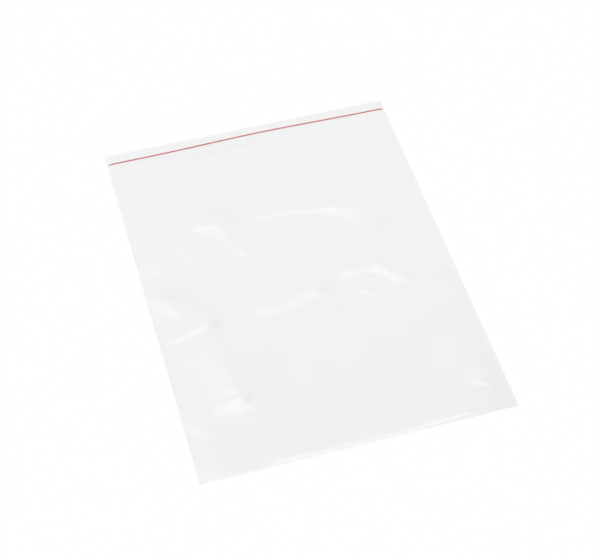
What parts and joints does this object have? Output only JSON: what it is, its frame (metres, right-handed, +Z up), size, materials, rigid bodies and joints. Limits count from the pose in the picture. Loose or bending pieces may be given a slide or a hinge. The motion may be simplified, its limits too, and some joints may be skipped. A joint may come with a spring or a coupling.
{
  "type": "zipper bag",
  "caption": "Flat, empty bag of clear film with side welds, a bottom fold and a pressed-shut zip whose rib shows as a thin red line.",
  "frame": {"origin": "centre of the underside's bounding rectangle, on the surface that the bag lies on", "axes": "+Z up through the front wall, +Y along the bag towards its mouth and zip, +X across it"},
  "size_m": [0.2294, 0.3082, 0.0033],
  "materials": {
    "clear_film": "clear, slightly hazy polyethylene film with a soft gloss",
    "red_rib": "red polyethylene seen through the clear film"
  },
  "bodies": {
    "root": {"film_bag": "clear_film", "zip_rib": "red_rib"}
  },
  "joints": []
}
